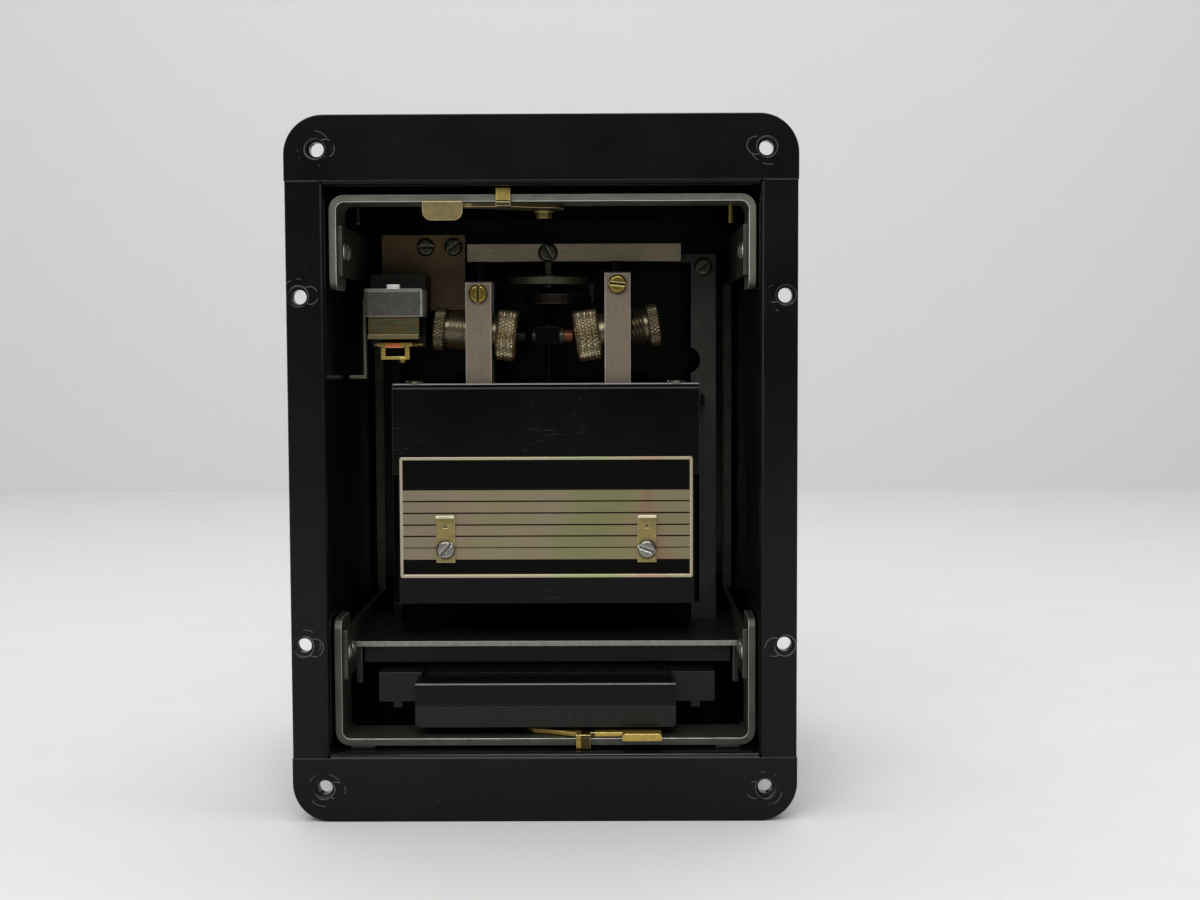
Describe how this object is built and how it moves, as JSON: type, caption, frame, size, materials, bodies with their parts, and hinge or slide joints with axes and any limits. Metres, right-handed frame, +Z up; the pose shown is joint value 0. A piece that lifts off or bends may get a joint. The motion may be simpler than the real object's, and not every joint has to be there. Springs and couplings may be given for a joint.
{
  "type": "protection relay",
  "caption": "Flush-mounted drawout protection relay: black steel case with bolt flange, drawout cradle, induction-cup contact unit, target unit, plug and latches.",
  "frame": {"origin": "centre of the panel hole pattern, on the plane where the flange meets the panel", "axes": "+X to the right seen from the front, +Y back through the panel, +Z up"},
  "size_m": [0.1684, 0.1715, 0.234],
  "materials": {
    "case_enamel": "black semi-gloss enamel on steel sheet",
    "plated_steel": "dull zinc-plated steel strip with wear on its edges",
    "black_moulding": "moulded black phenolic",
    "plug_moulding": "moulded dark grey phenolic",
    "brass": "satin brass",
    "aluminium": "fine-sawn aluminium bar",
    "nickel": "warm nickel plate on turned brass",
    "bright_steel": "bright turned steel",
    "black_plate": "matte black baked paint",
    "dark_steel": "grey-olive plated steel in shade",
    "nameplate": "etched aluminium sheet with a bright border",
    "phenolic": "brown paper phenolic",
    "laminations": "varnished lamination steel",
    "winding": "varnished copper winding",
    "hood_steel": "bright plated sheet",
    "chromate": "iridescent yellow chromate on steel",
    "bronze": "aged bronze"
  },
  "bodies": {
    "case": {"case_top_end": "case_enamel", "case_bottom_end": "case_enamel", "case_left_side": "case_enamel", "case_right_side": "case_enamel", "case_back": "case_enamel", "case_guides": "case_enamel", "case_block": "black_moulding", "case_fingers": "brass", "terminal_studs": "brass", "stud_nuts": "brass"},
    "cradle": {"cradle_top_bracket": "plated_steel", "cradle_bottom_bracket": "plated_steel", "cradle_left_side": "plated_steel", "cradle_right_side": "plated_steel", "cradle_rivets": "plated_steel", "cradle_shelf": "dark_steel", "cradle_block": "black_moulding", "cradle_fingers": "brass", "mounting_plate": "black_plate", "left_support": "black_plate", "right_support": "dark_steel", "unit_plate": "black_plate", "contact_base": "phenolic", "top_bar": "aluminium", "bar_posts": "black_plate", "top_bearing": "bright_steel", "lower_bearing": "bright_steel", "stator": "laminations", "stator_coils": "winding", "stator_core": "laminations", "nameplate_bracket": "black_plate", "nameplate": "nameplate", "nameplate_clips": "brass", "clip_screws": "bright_steel", "steel_screws": "bright_steel", "left_contact_block": "aluminium", "right_contact_block": "aluminium", "clamp_screws": "brass", "left_contact_barrel": "nickel", "right_contact_barrel": "nickel", "left_contact_cap": "nickel", "right_contact_cap": "nickel", "fixed_contacts": "brass", "damper_balls": "bright_steel", "insulating_plate": "phenolic", "target_base": "black_moulding", "target_hood": "hood_steel", "target_coil": "winding", "target_yoke": "chromate", "top_latch_pivot": "brass", "bottom_latch_pivot": "brass"},
    "plug": {"plug_body": "plug_moulding", "plug_handle": "plug_moulding", "plug_blades": "brass"},
    "top_latch": {"top_latch": "brass"},
    "bottom_latch": {"bottom_latch": "brass"},
    "rotor": {"rotor": "bright_steel"},
    "adjuster": {"adjuster": "bronze"},
    "target_armature": {"armature": "chromate"},
    "target_reset": {"reset_lever": "bright_steel"}
  },
  "joints": [
    {"name": "cradle_draw", "type": "slide", "parent": "case", "child": "cradle", "axis": [0, -1, 0], "range_m": [0, 0.15]},
    {"name": "plug_pull", "type": "slide", "parent": "cradle", "child": "plug", "axis": [0, -1, 0], "range_m": [0, 0.06]},
    {"name": "top_latch_turn", "type": "hinge", "parent": "cradle", "child": "top_latch", "pos_m": [0, 0.0135, 0.0885], "axis": [0, 0, 1], "range_deg": [0, 25]},
    {"name": "bottom_latch_turn", "type": "hinge", "parent": "cradle", "child": "bottom_latch", "pos_m": [0, 0.0135, -0.0898], "axis": [0, 0, -1], "range_deg": [0, 25]},
    {"name": "contact_swing", "type": "hinge", "parent": "cradle", "child": "rotor", "pos_m": [0, 0.056, 0.02], "axis": [0, 0, 1], "range_deg": [-7, 1.4], "stiffness_Nm_per_rad": 0.002},
    {"name": "adjuster_turn", "type": "hinge", "parent": "cradle", "child": "adjuster", "pos_m": [0, 0.056, 0.064], "axis": [0, 0, 1], "range_deg": [-90, 90]},
    {"name": "target_lift", "type": "hinge", "parent": "cradle", "child": "target_armature", "pos_m": [-0.0532, 0.0428, 0.0422], "axis": [-1, 0, 0], "range_deg": [0, 5]},
    {"name": "target_reset_push", "type": "slide", "parent": "cradle", "child": "target_reset", "axis": [0, 0, 1], "range_m": [0, 0.004], "stiffness_N_per_m": 15}
  ]
}
